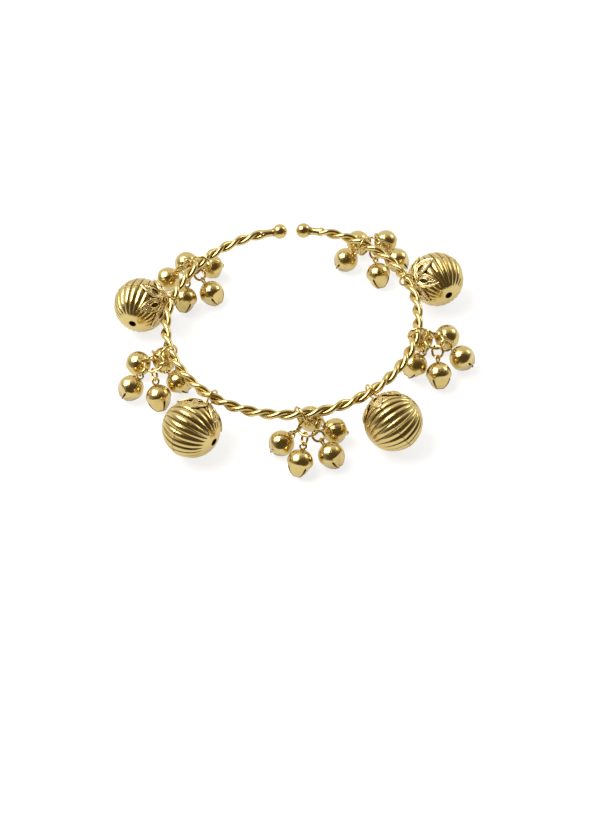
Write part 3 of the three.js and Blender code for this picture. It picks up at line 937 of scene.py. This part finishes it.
class BANGLE_OT_bells(bpy.types.Operator):
    """Presses each bell with its pinched mouth, eye, jump ring and loose pellet"""

    bl_idname = "bangle.bells"
    bl_label = "Bells"

    # Rows of the dome and of the petals, and columns of one petal
    DOME_ROWS = 14
    PETAL_ROWS = 20
    COLUMNS = 13
    # What the corners and the flats lose by the mouth, as a share of the radius, and its power
    CORNER_FALL = (0.5, 2.6)
    FLAT_FALL = (0.925, 1.35)
    # Raised line round the widest place: height, place and spread in millimetres
    BAND = (0.03, -0.15, 0.16)
    # Shares of the petals' length: where the slits start, and how far on they are full
    SLIT_START = 0.2
    SLIT_OPENING = 0.16
    # Length and width of one petal's sheet in millimetres
    SPAN = (9.0, 4.7)
    EYE_WIRE = 0.24 * MM
    SOLDER_RADIUS = 0.62 * MM
    # How far the pellet lies past the widest place, and its share of the way down to the wall
    PELLET_STEP = 0.5 * MM
    PELLET_DROP = 0.6

    def shell(self, sizes):
        """Grid of the bell's outside. The dome is half a ball; below it four petals run from a
        circle to a pinched cross. Between two corners the radius is the flat's, plus the rest of
        the way to the corner's times a secant, which makes the flat plane where it can be."""
        lift = np.linspace(0.0, math.pi / 2, self.DOME_ROWS + 1)[:-1]
        share = np.linspace(0, 1, self.PETAL_ROWS)
        x = np.concatenate([-sizes.radius * np.cos(lift), sizes.mouth * share])
        height, place, spread = self.BAND
        band = height * MM * np.exp(-((x / MM - place) / spread) ** 2)
        dome = sizes.radius * np.sin(lift)
        corner, flat = (
            np.concatenate([dome, sizes.radius * (1 - loss * share ** power)]) + band
            for loss, power in (self.CORNER_FALL, self.FLAT_FALL))
        share = np.concatenate([0 * lift, share])
        opening = ramp(share, self.SLIT_START, self.SLIT_OPENING)
        half = sizes.slit * np.sqrt(opening * (2 - opening))
        trim = np.arctan2(half, np.maximum(corner, 1e-6))[:, None]
        step = np.linspace(0, 1, self.COLUMNS)[None, :]
        angle = trim + (math.pi / 2 - 2 * trim) * step
        swing = (1 / np.cos(angle - math.pi / 4) - 1) / (math.sqrt(2) - 1)
        radius = flat[:, None] + (corner - flat)[:, None] * swing
        # Painted shade and tarnish along the slits, towards the mouth and just below the raised band
        near = np.minimum(step, 1 - step)
        slit = (1 - ramp(near, 0, 0.1)) * ramp(share, 0.1, 0.2)[:, None]
        mouth = ramp(share, 0.82, 0.18)[:, None]
        recess = np.maximum(0.75 * slit, 0.8 * mouth)
        recess = np.maximum(recess, 0.35 * np.exp(-((x / MM - 0.25) / 0.2) ** 2)[:, None])
        return x, angle, radius, np.broadcast_to(recess, radius.shape)

    def eye(self, sizes, place, axes):
        """Patches of the closed wire eye on top of a bell, square to the ring through it, and
        of the blob of solder that holds it."""
        normal = axes[1] * math.sin(sizes.ring_twist) + axes[2] * math.cos(sizes.ring_twist)
        other = np.cross(normal, axes[0])
        arc = round_steps(24)[:, None]
        loop = sizes.eye_radius * (axes[0] * np.cos(arc) + other * np.sin(arc))
        loop = place + axes[0] * sizes.eye_centre + loop
        lift = np.linspace(0, 1, 7)
        solder = np.column_stack([sizes.apex + MM * (-0.16 + 0.3 * lift),
                                  self.SOLDER_RADIUS * np.sin(lift * math.pi / 2) ** 0.8])
        solder = np.vstack([solder, [solder[-1, 0], 0.0]])
        # Painted shade and tarnish where the solder meets the bell
        blob = turned(solder, place, axes, 20, np.append(0.15 + 0.5 * lift, 0.7))
        return [tube(loop, self.EYE_WIRE, normal, 9, True), blob]

    def execute(self, context):
        """One shell serves every bell, rolled about its axis by its own amount."""
        sizes = context.scene.bangle_bells
        x, angle, radius, recess = self.shell(sizes)
        widest = sizes.apex + sizes.radius
        along = np.repeat((widest + x)[:, None], self.COLUMNS, axis=1)
        drop = self.PELLET_DROP * (sizes.radius - sizes.wall - sizes.pellet_radius)
        chance = np.random.default_rng(7)
        rolls = math.pi / 4 + chance.uniform(-0.12, 0.12, len(BELLS))
        cuts = chance.uniform(0, 2 * math.pi, len(BELLS))
        for body, roll, cut in zip(BELLS, rolls, cuts):
            place, axes = bell_axes(body)
            middle = place + axes[0] * widest
            petals = []
            for quarter in range(4):
                turn = angle + quarter * math.pi / 2 + roll
                points = np.stack([along, radius * np.cos(turn), radius * np.sin(turn)], axis=-1)
                petals.append(patch(placed(points, place, axes), recess, span=self.SPAN, middle=middle))
            build(f"{body}_shell", petals, bell_gold(), body, [body],
                  wall=sizes.wall, crease=46)
            build(f"{body}_eye", self.eye(sizes, place, axes), wire_gold(), body)
            normal = axes[2] * math.sin(sizes.ring_twist) - axes[1] * math.cos(sizes.ring_twist)
            ring = jump_ring(place + axes[0] * sizes.ring_centre, normal, sizes.ring_radius,
                             sizes.ring_wire, cut, 36, 9)
            build(f"{body}_ring", [ring], wire_gold(), body)
            rest = middle + axes[0] * self.PELLET_STEP - UP * drop
            pellet = ball(rest, sizes.pellet_radius, 10, 16, 0.2)
            build(f"{body}_pellet", [pellet], pellet_steel(), body)
        return {"FINISHED"}


class BANGLE_OT_stage(bpy.types.Operator):
    """Sets the floor, the lamps, the sky and the camera"""

    bl_idname = "bangle.stage"
    bl_label = "Stage"

    # Places in metres; the camera's is from the middle of the rope's circle
    FLOOR_REACH = 0.55
    AIM = (0.0, 0.0, 0.005)
    KEY_PLACE = (-0.3, 0.06, 0.52)
    KEY_SIZE = 0.46
    FILL_PLACE = (0.5, 0.3, 0.3)
    FILL_SIZE = 0.25
    STAND = (15.38 * MM, -256.37 * MM, 281.4 * MM)
    LOOK = (-0.03771, 0.64027, -0.76722)
    CAMERA_UP = (0.03436, 0.76814, 0.63936)
    # Directions of the bright sky and of the dim room
    BEHIND = (-0.1, 1.0, 0.35)
    FRONT = (0.3, -0.8, 0.5)
    # Share of the floor's glow that metal sees, and share of the sky that the room takes away
    MIRRORED_FLOOR = 0.75
    DIM_ROOM = 0.68

    def lamp(self, name, place, size, power):
        """Adds a square lamp that looks at the part."""
        data = bpy.data.lights.new(name, "AREA")
        data.size = size
        data.energy = power
        lamp = bpy.data.objects.new(name, data)
        bpy.context.scene.collection.objects.link(lamp)
        lamp.location = place
        lamp.rotation_euler = (Vector(self.AIM) - Vector(place)).to_track_quat("-Z", "Y").to_euler()

    def floor(self, sizes):
        """A wide flat floor just under the part, pale where the camera or metal sees it."""
        low = CAD_BOX[0][2] - 0.02 * MM
        reach = self.FLOOR_REACH
        corners = [(x * reach, y * reach, low) for x, y in ((-1, -1), (1, -1), (1, 1), (-1, 1))]
        mesh = bpy.data.meshes.new("floor")
        mesh.from_pydata(corners, [], [(0, 1, 2, 3)])
        floor = bpy.data.objects.new("floor", mesh)
        bpy.context.scene.collection.objects.link(floor)
        material = bpy.data.materials.new("pale_floor")
        material.use_nodes = True
        graph = Graph(material.node_tree)
        rays = graph.add("ShaderNodeLightPath").outputs
        mirrored = graph.math("MAXIMUM", rays["Is Glossy Ray"], rays["Is Transmission Ray"])
        mirrored = graph.math("MULTIPLY", mirrored, self.MIRRORED_FLOOR)
        seen = graph.math("MAXIMUM", rays["Is Camera Ray"], mirrored)
        lift = graph.math("MULTIPLY", seen, sizes.glow)
        matt = graph.add("ShaderNodeBsdfDiffuse", None, Color=(*sizes.floor, 1))
        glow = graph.add("ShaderNodeEmission", None, Color=(1, 1, 1, 1), Strength=lift)
        both = graph.add("ShaderNodeAddShader", None, i0=matt.outputs[0], i1=glow.outputs[0])
        graph.add("ShaderNodeOutputMaterial", None, Surface=both.outputs[0])
        mesh.materials.append(material)

    def sky(self, sizes):
        """White to the camera. Metal sees it bright behind the part and dark in front, where
        the room is."""
        world = bpy.data.worlds.new("studio")
        bpy.context.scene.world = world
        world.use_nodes = True
        graph = Graph(world.node_tree)
        way = graph.add("ShaderNodeTexCoord").outputs["Generated"]
        behind = self.towards(graph, way, self.BEHIND)
        front = self.towards(graph, way, self.FRONT)
        level = graph.math("ADD", graph.spread(behind, 0.0, 0.9, 0.0, sizes.back), sizes.sky)
        dim = graph.spread(front, 0.0, 0.8)
        level = graph.math("SUBTRACT", level, graph.math("MULTIPLY", dim, self.DIM_ROOM * sizes.sky))
        seen = graph.add("ShaderNodeLightPath").outputs["Is Camera Ray"]
        level = graph.math("MAXIMUM", level, seen)
        warm = graph.math("SUBTRACT", dim, seen, clamp=True)
        colour = graph.blend(warm, (1, 1, 1, 1), (*sizes.room, 1))
        glow = graph.add("ShaderNodeBackground", None, Color=colour, Strength=level)
        graph.add("ShaderNodeOutputWorld", None, Surface=glow.outputs[0])

    @staticmethod
    def towards(graph, way, aim):
        """How far a direction agrees with another one: 1 along it and -1 away from it."""
        aim = Vector(aim).normalized()
        node = graph.add("ShaderNodeVectorMath", {"operation": "DOT_PRODUCT"}, i0=way, i1=aim)
        return node.outputs["Value"]

    def camera(self, sizes):
        """The camera stands where the photograph's outline of the cuff was taken from."""
        data = bpy.data.cameras.new("camera")
        data.lens = sizes.lens
        data.sensor_width = 36
        data.clip_start = 0.01
        data.clip_end = 30
        camera = bpy.data.objects.new("camera", data)
        bpy.context.scene.collection.objects.link(camera)
        look = Vector(self.LOOK).normalized()
        right = look.cross(Vector(self.CAMERA_UP)).normalized()
        up = right.cross(look)
        turn = Matrix((right, up, -look)).transposed().to_4x4()
        middle = rope_circle()[0]
        place = Vector((middle[0], middle[1], 0)) + Vector(self.STAND)
        camera.matrix_world = Matrix.Translation(place) @ turn
        bpy.context.scene.camera = camera

    def execute(self, context):
        """Stage pieces are no part of the bangle."""
        sizes = context.scene.bangle_stage
        context.scene.view_settings.view_transform = "Standard"
        self.floor(sizes)
        self.sky(sizes)
        self.lamp("key", self.KEY_PLACE, self.KEY_SIZE, sizes.key)
        self.lamp("fill", self.FILL_PLACE, self.FILL_SIZE, sizes.fill)
        self.camera(sizes)
        return {"FINISHED"}


class BANGLE_PT_panel(bpy.types.Panel):
    """Settings and steps of the bangle"""

    bl_idname = "BANGLE_PT_panel"
    bl_label = "Ghungroo Bangle"
    bl_space_type = "VIEW_3D"
    bl_region_type = "UI"
    bl_category = "Bangle"

    def draw(self, context):
        """Lists each group of settings, and then the steps in order."""
        for group in SETTINGS:
            box = self.layout.box()
            box.label(text=group.title())
            held = getattr(context.scene, f"bangle_{group}")
            for key in held.bl_rna.properties.keys():
                if key not in {"name", "rna_type"}:
                    box.prop(held, key)
        for operator in OPERATORS:
            self.layout.operator(operator.bl_idname)


SETTINGS = {
    "cuff": CuffSettings,
    "beads": BeadSettings,
    "bells": BellSettings,
    "finish": FinishSettings,
    "stage": StageSettings,
}
OPERATORS = (
    BANGLE_OT_cuff,
    BANGLE_OT_ends,
    BANGLE_OT_beads,
    BANGLE_OT_caps,
    BANGLE_OT_links,
    BANGLE_OT_bells,
    BANGLE_OT_stage,
)
CLASSES = (*SETTINGS.values(), *OPERATORS, BANGLE_PT_panel)


def register():
    """Makes the settings, the operators and the panel known to Blender."""
    for item in CLASSES:
        bpy.utils.register_class(item)
    for group, settings in SETTINGS.items():
        setattr(bpy.types.Scene, f"bangle_{group}", PointerProperty(type=settings))


def unregister():
    """Takes them away again."""
    for group in SETTINGS:
        delattr(bpy.types.Scene, f"bangle_{group}")
    for item in reversed(CLASSES):
        bpy.utils.unregister_class(item)


def main():
    register()
    bpy.ops.bangle.cuff()
    bpy.ops.bangle.ends()
    bpy.ops.bangle.beads()
    bpy.ops.bangle.caps()
    bpy.ops.bangle.links()
    bpy.ops.bangle.bells()
    bpy.ops.bangle.stage()


if __name__ == "__main__":
    main()
